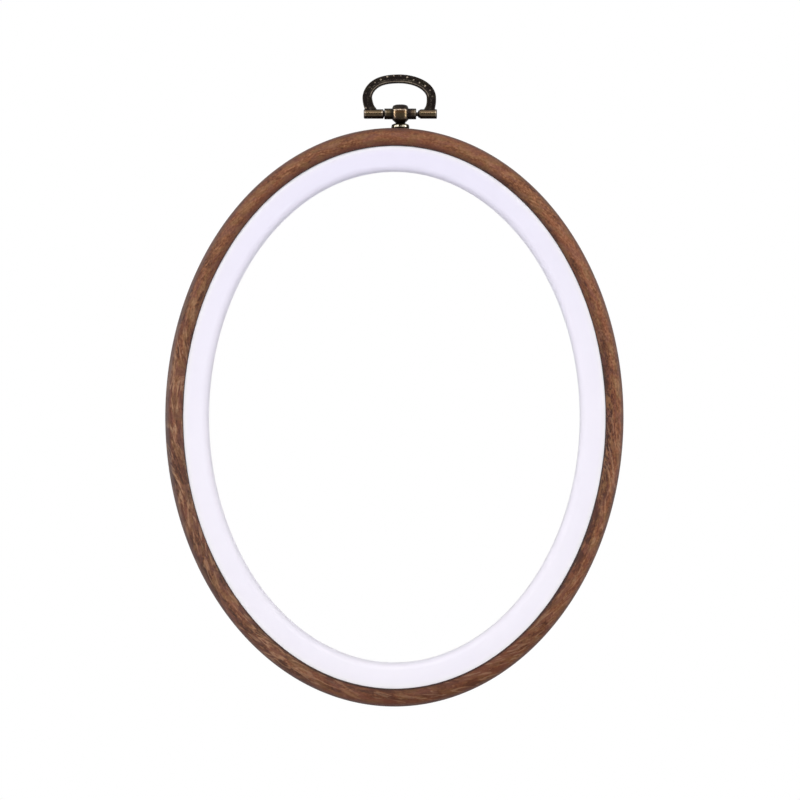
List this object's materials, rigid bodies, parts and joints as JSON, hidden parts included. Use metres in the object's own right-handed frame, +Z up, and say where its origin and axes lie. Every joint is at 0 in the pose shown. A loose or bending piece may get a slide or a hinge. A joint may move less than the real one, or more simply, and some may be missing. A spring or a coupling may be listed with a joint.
{
  "type": "oval embroidery hoop with hanger",
  "caption": "Flexible wood-grain oval ring stretched over a rigid white oval that grips the cloth, with a folding bronze bail on top to hang the finished work.",
  "frame": {"origin": "the hanging point: the middle of the bail's crown, on its underside, where a nail or hook bears when the bail stands up", "axes": "+Z up, from the hoop to the bail; -Y out of the front of the work; +X to the right seen from the front"},
  "size_m": [0.147, 0.01, 0.203],
  "materials": {
    "grain_vinyl": "flexible vinyl printed with a reddish-brown wood grain, satin",
    "white_plastic": "rigid moulded plastic, cool white, soft gloss",
    "antique_bronze": "darkened cast metal, rubbed bright on its edges",
    "bright_brass": "bright pale brass, lightly tarnished in the hollows",
    "dark_steel": "darkened wire",
    "bright_steel": "zinc-plated steel"
  },
  "bodies": {
    "flexible_ring": {"outer_ring": "grain_vinyl"},
    "rigid_ring": {"inner_ring": "white_plastic"},
    "post": {"hanger_post": "antique_bronze", "hinge_pin": "dark_steel", "post_collar": "bright_brass", "post_screw": "bright_steel", "screw_washer": "bright_steel"},
    "bail": {"hanger_bail": "antique_bronze"}
  },
  "joints": [
    {"name": "inner_ring_release", "type": "slide", "parent": "flexible_ring", "child": "rigid_ring", "axis": [0, 1, 0], "range_m": [0, 0.02]},
    {"name": "hanger_swivel", "type": "hinge", "parent": "flexible_ring", "child": "post", "pos_m": [0, 0, -0.01456], "axis": [0, 0, 1], "continuous": true},
    {"name": "bail_fold", "type": "hinge", "parent": "post", "child": "bail", "pos_m": [0, 0, -0.00996], "axis": [1, 0, 0], "range_deg": [-105, 105]}
  ]
}
